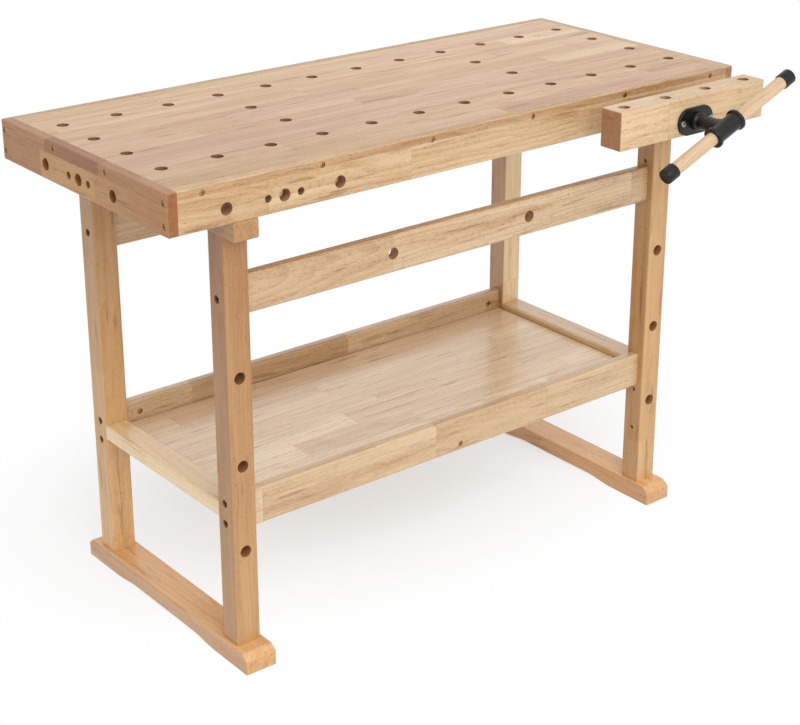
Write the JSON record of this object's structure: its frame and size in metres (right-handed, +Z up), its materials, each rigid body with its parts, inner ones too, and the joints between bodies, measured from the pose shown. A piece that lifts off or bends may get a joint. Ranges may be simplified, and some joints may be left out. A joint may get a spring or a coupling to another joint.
{
  "type": "woodworking bench with vise",
  "caption": "Wooden workbench: framed top with dog holes, sled-footed legs, low tray shelf, and a twin-rod wooden-jaw front vise whose screw, jaw and sliding handle move.",
  "frame": {"origin": "on the floor under the middle of the whole outline, with the vise as pictured", "axes": "+X along the bench to the right of someone who stands at its front, +Y from the front to the back, +Z up; the front apron and the vise face -Y"},
  "size_m": [1.2, 0.6992, 0.88],
  "materials": {
    "bench_wood": "satin clear varnish",
    "leg_wood": "satin clear varnish",
    "shelf_wood": "gloss clear varnish",
    "bar_wood": "bare sanded wood",
    "bright_steel": "turned and zinc-plated steel",
    "black_iron": "black powder coat on castings",
    "black_rubber": "smooth moulded rubber"
  },
  "bodies": {
    "bench": {"top_panel": "bench_wood", "front_apron": "bench_wood", "back_apron": "bench_wood", "left_end_board": "bench_wood", "right_end_board": "bench_wood", "left_foot": "leg_wood", "right_foot": "leg_wood", "left_bearer": "leg_wood", "right_bearer": "leg_wood", "left_side_stretcher": "leg_wood", "right_side_stretcher": "leg_wood", "front_left_post": "leg_wood", "front_right_post": "leg_wood", "rear_left_post": "leg_wood", "rear_right_post": "leg_wood", "front_upper_stretcher": "bench_wood", "rear_upper_stretcher": "bench_wood", "shelf_front_rail": "bench_wood", "shelf_back_rail": "bench_wood", "shelf_batten": "bench_wood", "shelf_panel": "shelf_wood", "bolt_front_left_stretcher": "bright_steel", "bolt_front_left_shelf_upper": "bright_steel", "bolt_front_left_shelf_lower": "bright_steel", "bolt_front_right_stretcher": "bright_steel", "bolt_front_right_shelf_upper": "bright_steel", "bolt_front_right_shelf_lower": "bright_steel", "bolt_rear_left_stretcher": "bright_steel", "bolt_rear_left_shelf_upper": "bright_steel", "bolt_rear_left_shelf_lower": "bright_steel", "bolt_rear_right_stretcher": "bright_steel", "bolt_rear_right_shelf_upper": "bright_steel", "bolt_rear_right_shelf_lower": "bright_steel", "barrel_nut_front_left_stretcher": "bright_steel", "barrel_nut_front_left_shelf_upper": "bright_steel", "barrel_nut_front_left_shelf_lower": "bright_steel", "barrel_nut_front_right_stretcher": "bright_steel", "barrel_nut_front_right_shelf_upper": "bright_steel", "barrel_nut_front_right_shelf_lower": "bright_steel", "barrel_nut_rear_left_stretcher": "bright_steel", "barrel_nut_rear_left_shelf_upper": "bright_steel", "barrel_nut_rear_left_shelf_lower": "bright_steel", "barrel_nut_rear_right_stretcher": "bright_steel", "barrel_nut_rear_right_shelf_upper": "bright_steel", "barrel_nut_rear_right_shelf_lower": "bright_steel", "vise_nut_plate": "black_iron", "rod_sleeve_left": "black_iron", "rod_sleeve_right": "black_iron"},
    "vise_jaw": {"vise_jaw": "bench_wood", "guide_rod_left": "bright_steel", "guide_rod_right": "bright_steel", "jaw_flange": "black_iron", "flange_screw_left": "bright_steel", "flange_screw_right": "bright_steel"},
    "vise_screw": {"vise_screw": "bright_steel", "screw_collar": "bright_steel", "screw_hub": "black_iron"},
    "handle_bar": {"handle_bar": "bar_wood", "handle_cap_left": "black_rubber", "handle_cap_right": "black_rubber"}
  },
  "joints": [
    {"name": "jaw_slide", "type": "slide", "parent": "bench", "child": "vise_jaw", "axis": [0, -1, 0], "range_m": [-0.0537, 0.0802]},
    {"name": "screw_turn", "type": "hinge", "parent": "vise_jaw", "child": "vise_screw", "pos_m": [0.39, -0.1594, 0.802], "axis": [0, -1, 0], "range_deg": [-3852, 5760]},
    {"name": "handle_slide", "type": "slide", "parent": "vise_screw", "child": "handle_bar", "axis": [0.9239, 0, 0.3827], "range_m": [-0.117, 0.097]}
  ],
  "couplings": [
    {"joint": "jaw_slide", "follows": "screw_turn", "m_per_rad": 0.00079577}
  ]
}
